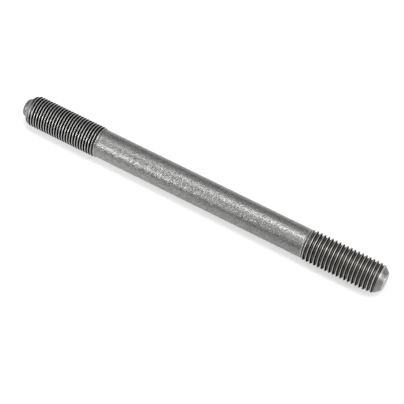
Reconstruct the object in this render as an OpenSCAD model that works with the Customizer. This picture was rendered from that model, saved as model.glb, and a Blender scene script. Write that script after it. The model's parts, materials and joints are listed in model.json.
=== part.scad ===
// Cylinder head stud: one turned steel rod with a thread at each end.
// It lies along X on the plane z = 0, with the nut end towards -X and the block end towards +X.
// The threaded lengths are plain at their major diameter.

/* [Shank] */
// Diameter of the plain shank
shank_d = 9.25; // [8:0.05:9.6]
// Length of the plain shank, between the two run-outs
shank_l = 72.1; // [40:0.1:160]

/* [Threads] */
// Major diameter of both threads, on which the stud lies
thread_d = 10; // [9.8:0.1:14]
// Length of full thread at the nut end
nut_thread_l = 23.3; // [12:0.1:60]
// Length over which the nut-end thread runs out into the shank
nut_runout_l = 1.7; // [0.5:0.1:4]
// Length of full thread at the block end
block_thread_l = 20; // [12:0.05:60]
// Length over which the block-end thread runs out into the shank
block_runout_l = 1.7; // [0.5:0.1:4]

/* [Nut end point] */
// Diameter of the flat at the tip of the point
point_tip_d = 5.2; // [3:0.1:6]
// Diameter of the point where it meets its shoulder
point_base_d = 6.1; // [6.1:0.1:8]
// Length of the tapered point
point_l = 0.8; // [0.3:0.05:6]
// Length of the steep shoulder behind the point
shoulder_l = 0.95; // [0.3:0.05:3]
// Diameter of the shoulder where the lead cone starts
lead_d = 8.8; // [8.1:0.1:9.7]
// Length of the lead cone in front of the thread
lead_l = 1.55; // [0.3:0.05:4]

/* [Block end] */
// Length over which the crests taper down behind the chamfer
taper_l = 3.35; // [0.5:0.05:8]
// Diameter of the crests where they meet the chamfer
taper_d = 8.9; // [8.1:0.1:9.7]
// Diameter of the flat face at the block end
block_face_d = 5.5; // [3:0.1:8]
// Length of the chamfer between that face and the taper
chamfer_l = 1.7; // [0.5:0.05:6]

/* [Hidden] */
$fn = 96;

// Stations along the axis, measured from the tip of the point
point_end = point_l;
shoulder_end = point_end + shoulder_l;
lead_end = shoulder_end + lead_l;
nut_thread_end = lead_end + nut_thread_l;
shank_start = nut_thread_end + nut_runout_l;
shank_end = shank_start + shank_l;
block_thread_start = shank_end + block_runout_l;
block_thread_end = block_thread_start + block_thread_l;
taper_end = block_thread_end + taper_l;
overall_l = taper_end + chamfer_l;

// Half of the turned section: distance from the axis, then station along it
section = [
    [0, 0],
    [point_tip_d / 2, 0],
    [point_base_d / 2, point_end],
    [lead_d / 2, shoulder_end],
    [thread_d / 2, lead_end],
    [thread_d / 2, nut_thread_end],
    [shank_d / 2, shank_start],
    [shank_d / 2, shank_end],
    [thread_d / 2, block_thread_start],
    [thread_d / 2, block_thread_end],
    [taper_d / 2, taper_end],
    [block_face_d / 2, overall_l],
    [0, overall_l]
];

// Turns a piece made along Z so that it lies along X, centred, with its threads on the plane z = 0
module laid_down() {
    translate([-overall_l / 2, 0, thread_d / 2])
        rotate([0, 90, 0])
            children();
}

module stud() {
    color("gray")
        laid_down()
            rotate_extrude()
                polygon(section);
}

stud();
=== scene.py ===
import json
import math
from types import SimpleNamespace

import bpy
from mathutils import Matrix, Vector


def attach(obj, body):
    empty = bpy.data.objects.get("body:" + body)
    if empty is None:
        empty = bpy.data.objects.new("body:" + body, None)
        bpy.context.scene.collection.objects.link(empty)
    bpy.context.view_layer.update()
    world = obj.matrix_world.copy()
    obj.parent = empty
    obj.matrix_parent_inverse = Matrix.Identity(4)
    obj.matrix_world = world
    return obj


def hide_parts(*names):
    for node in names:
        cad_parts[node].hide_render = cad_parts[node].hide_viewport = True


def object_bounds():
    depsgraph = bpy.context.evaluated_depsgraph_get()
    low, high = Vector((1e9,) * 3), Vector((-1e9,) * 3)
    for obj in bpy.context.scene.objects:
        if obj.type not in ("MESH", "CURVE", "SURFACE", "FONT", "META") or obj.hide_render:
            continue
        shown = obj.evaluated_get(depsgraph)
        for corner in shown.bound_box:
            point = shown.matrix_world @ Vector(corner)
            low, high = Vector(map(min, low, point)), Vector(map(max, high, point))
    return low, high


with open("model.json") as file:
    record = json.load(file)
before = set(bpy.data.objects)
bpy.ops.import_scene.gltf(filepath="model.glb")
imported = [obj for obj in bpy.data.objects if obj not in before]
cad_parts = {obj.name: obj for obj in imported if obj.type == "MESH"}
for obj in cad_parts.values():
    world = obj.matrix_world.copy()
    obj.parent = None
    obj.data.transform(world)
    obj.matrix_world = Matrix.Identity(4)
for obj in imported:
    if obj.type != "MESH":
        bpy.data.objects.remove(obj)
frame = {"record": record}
cadLow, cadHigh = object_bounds()
axisHeight = (cadLow.z + cadHigh.z) / 2
scene = bpy.context.scene
scene.view_settings.view_transform = "Standard"
mm = 0.001
print("frame loaded, stud box", [round(v, 5) for v in cadHigh - cadLow])


# wraps one socket, so that node maths reads as plain sums
class Wire:
    def __init__(self, tree, socket=None):
        self.tree = tree
        self.socket = socket

    # any node: its settings go in first, then the values or links of its sockets
    def node(self, kind, settings=None, sockets=None, out=0):
        made = self.tree.nodes.new(kind)
        for name, value in (settings or {}).items():
            setattr(made, name, value)
        for name, value in (sockets or {}).items():
            if isinstance(value, Wire):
                self.tree.links.new(value.socket, made.inputs[name])
            else:
                made.inputs[name].default_value = value
        return Wire(self.tree, made.outputs[out])

    def math(self, operation, *values, clamp=False):
        settings = {"operation": operation, "use_clamp": clamp}
        return self.node("ShaderNodeMath", settings, dict(enumerate(values)))

    def __add__(self, other):
        return self.math("ADD", self, other)

    def __radd__(self, other):
        return self.math("ADD", other, self)

    def __sub__(self, other):
        return self.math("SUBTRACT", self, other)

    def __rsub__(self, other):
        return self.math("SUBTRACT", other, self)

    def __mul__(self, other):
        return self.math("MULTIPLY", self, other)

    def __rmul__(self, other):
        return self.math("MULTIPLY", other, self)

    def __truediv__(self, other):
        return self.math("DIVIDE", self, other)

    def __pow__(self, other):
        return self.math("POWER", self, other)

    def atLeast(self, other):
        return self.math("MAXIMUM", self, other)

    def atMost(self, other):
        return self.math("MINIMUM", self, other)

    def cosine(self):
        return self.math("COSINE", self)

    def sine(self):
        return self.math("SINE", self)

    def absolute(self):
        return self.math("ABSOLUTE", self)

    def zigzag(self):  # 0 at whole numbers, 1 half way between them
        return self.math("PINGPONG", self, 0.5) * 2

    def share(self, low, high):  # 0 at low, 1 at high, held at both ends
        return self.math("DIVIDE", self - low, high - low, clamp=True)


# camera, at the photograph's viewing angle
cameraSet = {
    "azimuth": 29.54,
    "elevation": 60.34,
    "distance": 417.75 * mm,
    "lens": 120.5,
    "aimAlong": 2.175 * mm,  # point on the axis that the view is set from
    "right": -1.18 * mm,
    "up": -2.37 * mm,
    "clipStart": 10 * mm,
}


def placeCamera(setting):
    turn = math.radians(setting["azimuth"])
    rise = math.radians(setting["elevation"])
    right = Vector((math.cos(turn), math.sin(turn), 0))
    back = Vector((math.sin(turn) * math.cos(rise), -math.cos(turn) * math.cos(rise), math.sin(rise)))
    up = back.cross(right)
    aim = Vector((setting["aimAlong"], 0, axisHeight))
    data = bpy.data.cameras.new("camera")
    data.lens = setting["lens"]
    data.clip_start = setting["clipStart"]
    camera = bpy.data.objects.new("camera", data)
    camera.matrix_world = Matrix((right, up, back)).transposed().to_4x4()
    camera.location = aim + back * setting["distance"] + right * setting["right"] + up * setting["up"]
    scene.collection.objects.link(camera)
    scene.camera = camera


placeCamera(cameraSet)
print("camera placed")


# the stud, one turned bar with a thread rolled on each end
studForm = {
    # bar
    "shankRadius": 4.625 * mm,
    "threadRadius": (cadHigh.z - cadLow.z) / 2,
    "shankDull": 0.29,  # one side of the shank is painted darker, most of all towards the block end
    "shankDullLeast": 0.06,
    "shankDullAngle": math.radians(162),
    "shankDullFrom": -30 * mm,
    "shankDullTo": 30 * mm,
    "tiltAngle": math.radians(26),  # both ends are cut a little out of square, towards this side
    "wearDepth": 0.06 * mm,  # crests are rubbed bright down to here
    # point and lead
    "tipRadius": 2.6 * mm,
    "tipDome": 0.04 * mm,
    "pointRadius": 3.05 * mm,
    "pointLength": 1.1 * mm,
    "pointWear": 0.05,
    "shoulderLength": 1.0 * mm,
    "shoulderTilt": 0.14 * mm,
    "leadRadius": 4.4 * mm,
    "leadSkew": 0.2 * mm,  # the lead is ground further back on one side
    "leadSkewAngle": math.radians(126),
    "leadWear": 0.45,  # a painted highlight on that ground side
    "leadWearFade": 0.2 * mm,
    "grooveFromShare": 0.2,  # where the first groove starts and is full, of the shoulder
    "grooveFullShare": 0.5,
    "grooveSkew": 1.5 * mm,  # on the ground side it starts later, and the grime comes in slowly
    "grooveFade": 1.6 * mm,
    # nut thread
    "nutPitch": 0.968 * mm,
    "nutDepth": 0.60 * mm,
    "nutCrestShare": 0.22,  # flat of the crest, of half a pitch
    "nutFloorShare": 0.2,
    "nutSoftness": 0.8,  # 0 gives straight flanks, 1 rounded ones
    "nutFade": 2.0 * mm,  # length over which the thread sinks into the shank
    "nutGrime": 1.0,
    "nutGrimeShare": 0.15,  # depth at which the grime is full, of the thread's depth
    "nutGrimeGone": 0.05,  # grime leaves the run-out between these shares of the thread
    "nutGrimeWhole": 0.9,
    "nutFlankClean": 0.05,  # grime rises up the flanks between these shares of a groove
    "nutFlankDark": 0.4,
    "nutWear": 0.85,  # how far the crests are rubbed bright
    # block thread
    "blockPitch": 1.261 * mm,
    "blockDepth": 0.77 * mm,
    "blockCrestShare": 0.11,
    "blockFloorShare": 0.18,
    "blockSoftness": 0.7,
    "blockFade": 1.7 * mm,
    "blockGrime": 0.95,
    "blockGrimeShare": 0.12,
    "blockRootWear": 0.7,  # grime missing from the root
    "blockRootAt": 0.03,  # that strip lies off the middle, in turns
    "blockRootShare": 0.76,
    "blockWear": 1.0,
    "blockLip": 0.14 * mm,  # thin ridge pushed up just before the first groove
    "blockLipAt": -1.6,  # in turns from the first full crest
    "blockLipWidth": 0.14,
    "blockLipRise": 6,  # how fast it rises at both ends of its one turn
    "blockNick": 0.6,  # painted shadow in the thin line behind that ridge
    "blockNickAt": -1.36,
    # last turns, chamfer and face
    "taperRadius": 4.72 * mm,  # crests of the last turns get lower
    "taperEdge": 0.1 * mm,
    "lastWear": 0.7,  # the last crest has a painted highlight on top and a painted darker patch beside that
    "lastWearWidth": 0.13 * mm,
    "lastWearAngle": math.radians(100),
    # painted darker patch beside the last crest
    "lastGrime": 0.5,
    "lastGrimeWidth": 0.2 * mm,
    "lastGrimeAngle": math.radians(138),
    "chamferRadius": 4.39 * mm,
    "chamferLength": 1.75 * mm,
    "chamferTilt": 0.1 * mm,
    "blockFaceRadius": 2.85 * mm,
    "blockDome": 0.05 * mm,  # the face is a little rounded
    "faceEdgeShare": 0.1,  # over which its colour comes in
    "rimWear": 1.0,
    "rimWidth": 0.25 * mm,
}
studMesh = {
    "columns": 96,
    "capRows": 8,
    "pointRows": 10,
    "shankRows": 34,
    "chamferRows": 3,
    "nutRows": 12,  # rows to a pitch
    "blockRows": 16,
    "nutCrestAt": -36.025 * mm,  # a crest on the side towards the camera
    "blockCrestAt": 39.095 * mm,
    "crestAngle": 116.2,
    "fanMargin": 0.4 * mm,  # plain shank between a thread and the rings
    "faceMargin": 0.1 * mm,  # plain chamfer between the last helix row and the face
    "weld": 0.001 * mm,
    "sharpAngle": 35,
}


def threadSpan(name):
    mount = next(m for m in frame["record"]["mounts"] if m["name"] == name)
    half = mount["dims"]["length_mm"] * mm / 2
    return mount["pos_m"][0] - half, mount["pos_m"][0] + half


# where the stretches of rows start along the bar, and how many rows each one has
def layOutRows(form, mesh):
    nutStart, nutEnd = threadSpan("nut_thread")
    blockStart, blockEnd = threadSpan("block_thread")
    turnShare = mesh["crestAngle"] / 360
    nutStep = form["nutPitch"] / mesh["nutRows"]
    nutFan = cadLow.x + form["pointLength"]
    nutLength = nutEnd + form["nutFade"] + mesh["fanMargin"] - nutFan
    nutCount = math.ceil(nutLength / nutStep)
    blockStep = form["blockPitch"] / mesh["blockRows"]
    blockFan = blockStart - form["blockFade"] - mesh["fanMargin"] - form["blockPitch"]
    blockLength = cadHigh.x - form["blockDome"] - mesh["faceMargin"] - form["blockPitch"] - blockFan
    blockCount = math.floor(blockLength / blockStep)
    place = {
        "tipAt": cadLow.x,
        "endAt": cadHigh.x,
        "axisHeight": axisHeight,
        "nutStart": nutStart,
        "nutEnd": nutEnd,
        "nutCrest": mesh["nutCrestAt"] - form["nutPitch"] * turnShare,
        "nutFan": nutFan,
        "shankFrom": nutFan + nutStep * nutCount + form["nutPitch"],
        "blockStart": blockStart,
        "blockEnd": blockEnd,
        "blockCrest": mesh["blockCrestAt"] - form["blockPitch"] * turnShare,
        "blockFan": blockFan,
        "chamferFrom": blockFan + blockStep * blockCount + form["blockPitch"],
    }
    rows = {
        "nutFace": mesh["capRows"],
        "point": mesh["pointRows"],
        "nutOpen": mesh["nutRows"],  # rings fan out into the helix
        "nutThread": nutCount,
        "nutClose": mesh["nutRows"],
        "shank": mesh["shankRows"],
        "blockOpen": mesh["blockRows"],
        "blockThread": blockCount,
        "blockClose": mesh["blockRows"],
        "chamfer": mesh["chamferRows"],
        "blockFace": mesh["capRows"],
    }
    return place, rows


# a flat grid, to be rolled up: every row is a ring or one line of a helix, so crests lie on its edges
def layGrid(start, size, rows, columns):
    total = sum(rows.values())
    gridSize = {"Size X": 1, "Size Y": total, "Vertices X": columns + 1, "Vertices Y": total + 1}
    grid = start.node("GeometryNodeMeshGrid", None, gridSize)
    flat = start.node("GeometryNodeInputPosition")
    around = start.node("ShaderNodeSeparateXYZ", None, {0: flat}, "X") + gridSize["Size X"] / 2
    row = start.node("ShaderNodeSeparateXYZ", None, {0: flat}, "Y") + gridSize["Size Y"] / 2
    passed = {}  # 0 before a stretch of rows, 1 after it
    counted = 0
    for name, count in rows.items():
        passed[name] = row.share(counted, counted + count)
        counted += count
    nutTurns = rows["nutThread"] / rows["nutOpen"]
    blockTurns = rows["blockThread"] / rows["blockOpen"]
    faceAt = size.endAt - size.blockDome
    ringAt = size.tipAt + size.tipDome * passed["nutFace"] ** 2
    ringAt = ringAt + (size.nutFan - size.tipAt - size.tipDome) * passed["point"]
    ringAt = ringAt + size.nutPitch * (nutTurns * passed["nutThread"] + passed["nutClose"])
    ringAt = ringAt + (size.blockFan - size.shankFrom) * passed["shank"]
    ringAt = ringAt + size.blockPitch * (blockTurns * passed["blockThread"] + passed["blockClose"])
    ringAt = ringAt + (faceAt - size.chamferFrom) * passed["chamfer"]
    ringAt = ringAt + size.blockDome * (1 - (1 - passed["blockFace"]) ** 4)
    nutLead = size.nutPitch * (passed["nutOpen"] - passed["nutClose"])
    blockLead = size.blockPitch * (passed["blockOpen"] - passed["blockClose"])
    at = SimpleNamespace(around=around, angle=around * (2 * math.pi), faceAt=faceAt)
    at.along = ringAt + (nutLead + blockLead) * around
    at.nutFace = passed["nutFace"]
    at.blockFace = passed["blockFace"]
    return grid, at


def lobeAt(angle, middle):  # 1 at an angle, falling off to both sides
    return (angle - middle).cosine().atLeast(0) ** 4


# where the point, the shoulder, the lead and the taper end, on each side of the bar
def markEnds(size, at):
    at.tilt = (at.angle - size.tiltAngle).cosine()
    at.lobe = lobeAt(at.angle, size.leadSkewAngle)
    skew = size.leadSkew * at.lobe
    at.pointEnd = size.tipAt + size.pointLength - size.shoulderTilt * at.tilt
    at.shoulderEnd = at.pointEnd + size.shoulderLength + skew
    at.leadEnd = size.nutStart + skew
    at.taperEnd = at.faceAt - size.chamferLength


# radius of the turned bar, from the point to the block face
def turnBar(size, at):
    toBase = 1 - at.along.share(size.tipAt, at.pointEnd)
    point = (1 - toBase ** 2) * (size.pointRadius - size.tipRadius)
    shoulder = at.along.share(at.pointEnd, at.shoulderEnd) * (size.leadRadius - size.pointRadius)
    lead = at.along.share(at.shoulderEnd, at.leadEnd) * (size.threadRadius - size.leadRadius)
    slope = (size.chamferRadius - size.blockFaceRadius) / size.chamferLength
    toFace = (at.faceAt - at.along).atLeast(0)
    chamfer = size.blockFaceRadius + slope * toFace + size.chamferTilt * at.tilt
    return (size.tipRadius + point + shoulder + lead).atMost(chamfer)


def cutGroove(phase, crestShare, floorShare, softness):  # 0 on a crest, 1 in a root
    depth = phase.zigzag().share(crestShare, 1 - floorShare)
    soft = depth * depth * (3 - 2 * depth)
    return depth + softness * (soft - depth)


# crests stand above the shank, roots lie below it, and both sink away towards it
def rollThreads(size, at, bar):
    crestStep = size.threadRadius - size.shankRadius
    nutPhase = (at.along - size.nutCrest) / size.nutPitch - at.around
    nutGroove = cutGroove(nutPhase, size.nutCrestShare, size.nutFloorShare, size.nutSoftness)
    nutThread = 1 - at.along.share(size.nutEnd, size.nutEnd + size.nutFade)
    nutRise = nutThread * (crestStep - size.nutDepth * nutGroove)
    blockPhase = (at.along - size.blockCrest) / size.blockPitch - at.around
    blockGroove = cutGroove(blockPhase, size.blockCrestShare, size.blockFloorShare, size.blockSoftness)
    blockThread = at.along.share(size.blockStart - size.blockFade, size.blockStart)
    drop = size.threadRadius - size.taperRadius - size.chamferTilt * at.tilt
    drop = at.along.share(size.blockEnd, at.taperEnd) * drop
    blockRise = blockThread * (crestStep - drop - (size.blockDepth - drop) * blockGroove)
    oneTurn = (size.blockLipRise * at.around * (1 - at.around)).share(0, 1)

    def thinLine(turns):
        return oneTurn * (1 - (blockPhase - turns).absolute().share(0, size.blockLipWidth))

    lip = thinLine(size.blockLipAt)
    lipRise = size.blockLip * lip
    crests = size.shankRadius + crestStep * nutThread + (crestStep - drop) * blockThread + lipRise
    radius = bar.atMost(size.shankRadius + nutRise + blockRise + lipRise)
    cut = SimpleNamespace(nutThread=nutThread, nutGroove=nutGroove, lip=lip)
    cut.blockThread = blockThread
    cut.blockPhase = blockPhase
    # painted shadow in the thin line behind the ridge
    cut.nick = thinLine(size.blockNickAt)
    cut.sunk = bar.atMost(crests) - radius  # depth below the crests
    return radius, cut


# what the steel reads: grime, rubbed crests, turned ends and the block face, with painted highlights, a
# painted shadow, a painted darker patch and one side of the shank painted darker
def paintStud(size, at, cut):
    late = size.grooveSkew * at.lobe
    grooveFrom = at.pointEnd + size.shoulderLength * size.grooveFromShare + late
    grooveFull = at.pointEnd + size.shoulderLength * size.grooveFullShare + late
    behindPoint = at.along.share(grooveFrom, grooveFull + size.grooveFade * at.lobe)
    onChamfer = at.along.share(at.taperEnd - size.taperEdge, at.taperEnd)
    behindLead = at.along.share(at.shoulderEnd, at.leadEnd)

    def lastCrest(width, middle):  # fades out along the bar and around it
        offLast = (at.along - at.taperEnd).absolute()
        return (1 - offLast.share(width, 2 * width)) * lobeAt(at.angle, middle)

    nutDirt = cut.sunk.share(0, size.nutDepth * size.nutGrimeShare)
    nutDirt = nutDirt.atLeast(cut.nutGroove.share(size.nutFlankClean, size.nutFlankDark))
    nutDirt = nutDirt * cut.nutThread.share(size.nutGrimeGone, size.nutGrimeWhole) * behindPoint
    blockDirt = cut.sunk.share(0, size.blockDepth * size.blockGrimeShare) * cut.blockThread
    rootStrip = (cut.blockPhase + size.blockRootAt).zigzag().share(size.blockRootShare, 1)
    blockDirt = blockDirt * (1 - size.blockRootWear * rootStrip)
    # grime in the thread roots, plus the painted shadow behind the ridge and the painted darker patch
    groove = size.nutGrime * nutDirt + size.blockGrime * blockDirt + size.blockNick * cut.nick
    # painted darker patch beside the last crest
    groove = groove + size.lastGrime * lastCrest(size.lastGrimeWidth, size.lastGrimeAngle)

    face = at.blockFace.share(0, size.faceEdgeShare)
    rim = at.along.share(at.faceAt - size.rimWidth, at.faceAt) * (1 - face)
    # painted highlight on the ground side of the lead; the point itself is only a little worn
    highlightSide = at.lobe * at.along.share(at.pointEnd - size.leadWearFade, at.pointEnd)
    pointWearAndLeadHighlight = (1 - behindPoint) * (size.pointWear + size.leadWear * highlightSide)
    # painted highlight on the last crest
    lastHighlightMask = lastCrest(size.lastWearWidth, size.lastWearAngle)
    # rubbed crests, with the painted highlights added below
    crest = size.nutWear * cut.nutThread + size.blockWear * cut.blockThread
    crest = behindLead * (1 - onChamfer) * crest * (1 - cut.sunk.share(0, size.wearDepth))
    for bright in (pointWearAndLeadHighlight, cut.lip, size.lastWear * lastHighlightMask, size.rimWear * rim):
        crest = crest.atLeast(bright)

    # one side of the shank is painted darker, most of all towards the block end
    towardsBlock = at.along.share(size.shankDullFrom, size.shankDullTo)
    dull = size.shankDullLeast + (size.shankDull - size.shankDullLeast) * towardsBlock
    dull = (1 - cut.nutThread) * (1 - cut.blockThread) * lobeAt(at.angle, size.shankDullAngle) * dull
    turned = 1 - behindLead + onChamfer
    return {"groove": groove, "crest": crest, "turned": turned, "face": face, "dull": dull}


def growStudTree(sizes, rows, mesh, material):
    tree = bpy.data.node_groups.new("studForm", "GeometryNodeTree")
    for name in sizes:
        tree.interface.new_socket(name, in_out="INPUT", socket_type="NodeSocketFloat")
    tree.interface.new_socket("Geometry", in_out="OUTPUT", socket_type="NodeSocketGeometry")
    inlet = tree.nodes.new("NodeGroupInput")
    outlet = tree.nodes.new("NodeGroupOutput")
    start = Wire(tree)
    size = SimpleNamespace(**{name: Wire(tree, inlet.outputs[name]) for name in sizes})
    shape, at = layGrid(start, size, rows, mesh["columns"])
    markEnds(size, at)
    radius, cut = rollThreads(size, at, turnBar(size, at))
    stored = {"data_type": "FLOAT", "domain": "POINT"}
    for name, value in paintStud(size, at, cut).items():
        sockets = {"Geometry": shape, "Name": name, "Value": value}
        shape = start.node("GeometryNodeStoreNamedAttribute", stored, sockets)
    reach = radius * (at.nutFace - at.blockFace)  # closes both ends
    across = reach * at.angle.cosine()
    height = reach * at.angle.sine() + size.axisHeight
    spot = start.node("ShaderNodeCombineXYZ", None, {"X": at.along, "Y": across, "Z": height})
    shape = start.node("GeometryNodeSetPosition", None, {"Geometry": shape, "Position": spot})
    shape = start.node("GeometryNodeMergeByDistance", None, {"Geometry": shape, "Distance": mesh["weld"]})
    shape = start.node("GeometryNodeSetShadeSmooth", None, {"Geometry": shape})
    shape = start.node("GeometryNodeRealizeInstances", None, {"Geometry": shape})
    shape = start.node("GeometryNodeSetMaterial", None, {"Geometry": shape, "Material": material})
    tree.links.new(shape.socket, outlet.inputs["Geometry"])
    return tree


# satin steel: grey, finely pitted, dark in the thread roots
steelLook = {
    "light": (0.40, 0.40, 0.395, 1),
    "dark": (0.19, 0.19, 0.186, 1),
    "root": (0.003, 0.003, 0.003, 1),
    # rubbed crests, and the colour of the painted highlights
    "burnished": (0.62, 0.62, 0.61, 1),
    "faced": (0.42, 0.42, 0.415, 1),  # the cut end
    "edgeTint": (0.8, 0.8, 0.8, 1),  # a satin surface darkens towards its outline
    "pointTint": (0.905, 0.92, 1.0, 1),  # the point is a little bluer, the block end a little browner
    "blockTint": (1.0, 0.955, 0.938, 1),
    "chamferClean": 0.6,  # share of that brown missing from the chamfer
    "specular": 0,  # none on the grime
    "roughness": 0.36,
    "mottleRough": 0.06,
    "grimeRough": -0.1,
    "wornRough": 0.12,  # added on rubbed crests
    "turnedRough": 0.02,  # added on the point, the chamfer and the faces
    "turnedDull": 0.6,
    "grimeFrom": 0.08,  # fainter grime than this doesn't show
    "grainScale": 2300,
    "grainDetail": 2,
    "grainTone": 0.85,  # parts of the tone between dark and light
    "pitScale": 1900,
    "pitDetail": 1,
    "pitFrom": 0.58,
    "pitFull": 0.8,
    "pitTone": 0.5,
    "pitDepth": 0.6,
    "mottleScale": 500,
    "mottleDetail": 3,
    "mottleTone": 0.15,
    "ringScale": 4200,  # tool marks
    "ringDetail": 2,
    "ringTone": 0.5,
    "ringDepth": 0.5,
    "noiseRoughness": 0.55,
    "noiseMiddle": 0.5,
    "toneFrom": 0.35,
    "toneFull": 0.65,
    "bump": 1.0,
    "bumpDepth": 0.095 * mm,
    "rolledFull": 0.4,  # rolling leaves the threads smoother than the shank
    "rolledSmooth": 0.75,
    "pointSmooth": 0.7,  # and the point is nearly as smooth
}


def makeSteel(look):
    material = bpy.data.materials.new("satinSteel")
    material.use_nodes = True
    tree = material.node_tree
    shader = tree.nodes["Principled BSDF"]
    start = Wire(tree)
    spot = start.node("ShaderNodeTexCoord", out="Object")

    def painted(name):
        return start.node("ShaderNodeAttribute", {"attribute_name": name}, out="Fac")

    def noise(kind):
        sockets = {"Vector": spot, "Scale": look[kind + "Scale"], "Detail": look[kind + "Detail"]}
        sockets["Roughness"] = look["noiseRoughness"]
        return start.node("ShaderNodeTexNoise", None, sockets, "Fac")

    def blend(share, first, second, kind="MIX"):
        settings = {"data_type": "RGBA", "blend_type": kind}
        return start.node("ShaderNodeMix", settings, {0: share, 6: first, 7: second}, 2)

    crest = painted("crest")
    turned = painted("turned")
    dirtAndShade = painted("groove").share(look["grimeFrom"], 1)
    grain = noise("grain")
    pits = noise("pit").share(look["pitFrom"], look["pitFull"])
    mottle = noise("mottle")
    along = start.node("ShaderNodeSeparateXYZ", None, {0: spot}, "X")
    across = start.node("ShaderNodeSeparateXYZ", None, {0: spot}, "Y")
    height = start.node("ShaderNodeSeparateXYZ", None, {0: spot}, "Z") - axisHeight
    reach = start.math("SQRT", across * across + height * height)
    ringSockets = {"W": along + reach, "Scale": look["ringScale"], "Detail": look["ringDetail"]}
    rings = start.node("ShaderNodeTexNoise", {"noise_dimensions": "1D"}, ringSockets, "Fac")
    ringCut = turned * (rings - look["noiseMiddle"])  # only on the point, the chamfer and the faces

    blockStart = threadSpan("block_thread")[0]
    onBlock = along.share(blockStart - studForm["blockFade"], blockStart)
    onPoint = turned * (1 - onBlock)
    brown = onBlock * (1 - look["chamferClean"] * turned)
    tone = look["grainTone"] * grain + look["mottleTone"] * mottle + look["ringTone"] * ringCut
    tone = tone.share(look["toneFrom"], look["toneFull"]) * (1 - look["pitTone"] * pits)
    tone = tone * (1 - look["turnedDull"] * turned)
    colour = blend(tone, look["dark"], look["light"])
    # the side of the shank painted darker, blended towards black
    colour = blend(painted("dull"), colour, look["root"])
    # rubbed crests and painted highlights, towards a lighter steel
    colour = blend(crest, colour, look["burnished"])
    colour = blend(painted("face"), colour, look["faced"])
    colour = blend(onPoint, colour, look["pointTint"], "MULTIPLY")
    colour = blend(brown, colour, look["blockTint"], "MULTIPLY")
    # grime in the roots, the painted shadow and the painted darker patch, towards black
    colour = blend(dirtAndShade, colour, look["root"])
    rough = look["roughness"] + look["mottleRough"] * (mottle - look["noiseMiddle"])
    rough = rough + look["grimeRough"] * dirtAndShade + look["wornRough"] * crest + look["turnedRough"] * turned
    smooth = (crest + dirtAndShade).share(0, look["rolledFull"]).atLeast(look["pointSmooth"] * onPoint)
    relief = grain - look["noiseMiddle"] - look["pitDepth"] * pits
    relief = relief * (1 - look["rolledSmooth"] * smooth) + look["ringDepth"] * ringCut
    bumpSockets = {"Strength": look["bump"], "Distance": look["bumpDepth"], "Height": relief}
    bump = start.node("ShaderNodeBump", None, bumpSockets)
    feeds = {"Base Color": colour, "Roughness": rough, "Metallic": 1 - dirtAndShade, "Normal": bump}
    for name, wire in feeds.items():
        tree.links.new(wire.socket, shader.inputs[name])
    shader.inputs["Specular IOR Level"].default_value = look["specular"]
    shader.inputs["Specular Tint"].default_value = look["edgeTint"]
    return material


def makeStud():
    place, rows = layOutRows(studForm, studMesh)
    sizes = {**studForm, **place}
    holder = bpy.data.objects.new("threadedStud", bpy.data.meshes.new("blank"))
    scene.collection.objects.link(holder)
    tree = growStudTree(sizes, rows, studMesh, makeSteel(steelLook))
    modifier = holder.modifiers.new("studForm", "NODES")
    modifier.node_group = tree
    for item in tree.interface.items_tree:
        if item.in_out == "INPUT":
            modifier[item.identifier] = sizes[item.name]
    grown = holder.evaluated_get(bpy.context.evaluated_depsgraph_get())
    mesh = bpy.data.meshes.new_from_object(grown)
    holder.modifiers.clear()
    holder.data = mesh
    mesh.name = "threadedStud"
    mesh.set_sharp_from_angle(angle=math.radians(studMesh["sharpAngle"]))
    return holder


stud = makeStud()
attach(stud, "root")
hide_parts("stud")
print("stud made,", len(stud.data.polygons), "faces")


# floor and light
floorLook = {
    "half": 2000 * mm,
    "colour": (0.64, 0.64, 0.64, 1),
    "roughness": 0.9,
    "specular": 0.1,
    "glow": 0.44,  # whitens the floor as it is seen, and keeps the shadow
}


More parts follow.
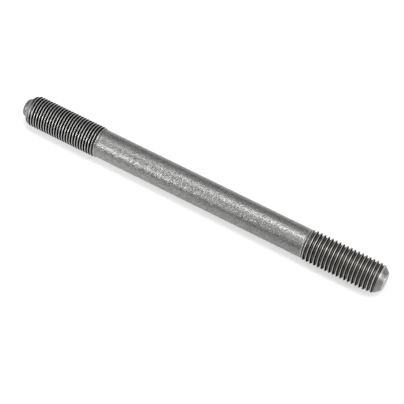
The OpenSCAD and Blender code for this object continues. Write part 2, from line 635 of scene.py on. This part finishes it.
def makeFloor(look):
    half = look["half"]
    mesh = bpy.data.meshes.new("floor")
    corners = [(-half, -half, 0), (half, -half, 0), (half, half, 0), (-half, half, 0)]
    mesh.from_pydata(corners, [], [(0, 1, 2, 3)])
    floor = bpy.data.objects.new("floor", mesh)
    floor.location.z = cadLow.z
    scene.collection.objects.link(floor)
    material = bpy.data.materials.new("paleFloor")
    material.use_nodes = True
    tree = material.node_tree
    shader = tree.nodes["Principled BSDF"]
    shader.inputs["Base Color"].default_value = look["colour"]
    shader.inputs["Roughness"].default_value = look["roughness"]
    shader.inputs["Specular IOR Level"].default_value = look["specular"]
    start = Wire(tree)
    seen = start.node("ShaderNodeLightPath", out="Is Camera Ray")
    for ray in ("Is Glossy Ray", "Is Transmission Ray"):
        seen = seen + start.node("ShaderNodeLightPath", out=ray)
    glow = start.node("ShaderNodeEmission", None, {"Strength": look["glow"] * seen})
    lit = Wire(tree, shader.outputs[0])
    both = start.node("ShaderNodeAddShader", None, {0: lit, 1: glow})
    tree.links.new(both.socket, tree.nodes["Material Output"].inputs["Surface"])
    mesh.materials.append(material)


lampSet = {
    "overhead": {"from": (0.05, 0.05, 0.8), "aim": (0.02, 0, 0), "size": (0.4, 0.18), "power": 2.3},
    "right": {"from": (0.36, 0.05, 0.75), "aim": (0.05, 0, 0), "size": (0.2, 0.18), "power": 0.9},
    "front": {"from": (-0.22, -0.27, 0.2275), "aim": (-0.04, 0, 0), "size": (0.13, 0.09), "power": 0.58},
    "side": {"from": (0.63, 0.07, 0.18), "aim": (0.06, 0, 0), "size": (0.1, 0.1), "power": 0.9},
}


def addLamp(name, setting):
    data = bpy.data.lights.new(name, "AREA")
    data.shape = "RECTANGLE"
    data.size, data.size_y = setting["size"]
    data.energy = setting["power"]
    lamp = bpy.data.objects.new(name, data)
    lamp.location = setting["from"]
    lamp.rotation_euler = (Vector(setting["aim"]) - lamp.location).to_track_quat("-Z", "Y").to_euler()
    scene.collection.objects.link(lamp)


# a plain room, dimmer towards the horizon
roomLight = {"colour": (1, 1, 1, 1), "horizon": 0.23, "overhead": 0.62, "lowRise": 0.15, "highRise": 0.8}


def lightWorld(setting):
    world = bpy.data.worlds.new("studio")
    world.use_nodes = True
    tree = world.node_tree
    background = tree.nodes["Background"]
    background.inputs["Color"].default_value = setting["colour"]
    start = Wire(tree)
    direction = start.node("ShaderNodeTexCoord", out="Generated")
    rise = start.node("ShaderNodeSeparateXYZ", None, {0: direction}, "Z")
    lift = rise.share(setting["lowRise"], setting["highRise"])
    strength = setting["horizon"] + (setting["overhead"] - setting["horizon"]) * lift
    tree.links.new(strength.socket, background.inputs["Strength"])
    scene.world = world


makeFloor(floorLook)
for lampName, lampSetting in lampSet.items():
    addLamp(lampName, lampSetting)
lightWorld(roomLight)
print("floor and lamps set")
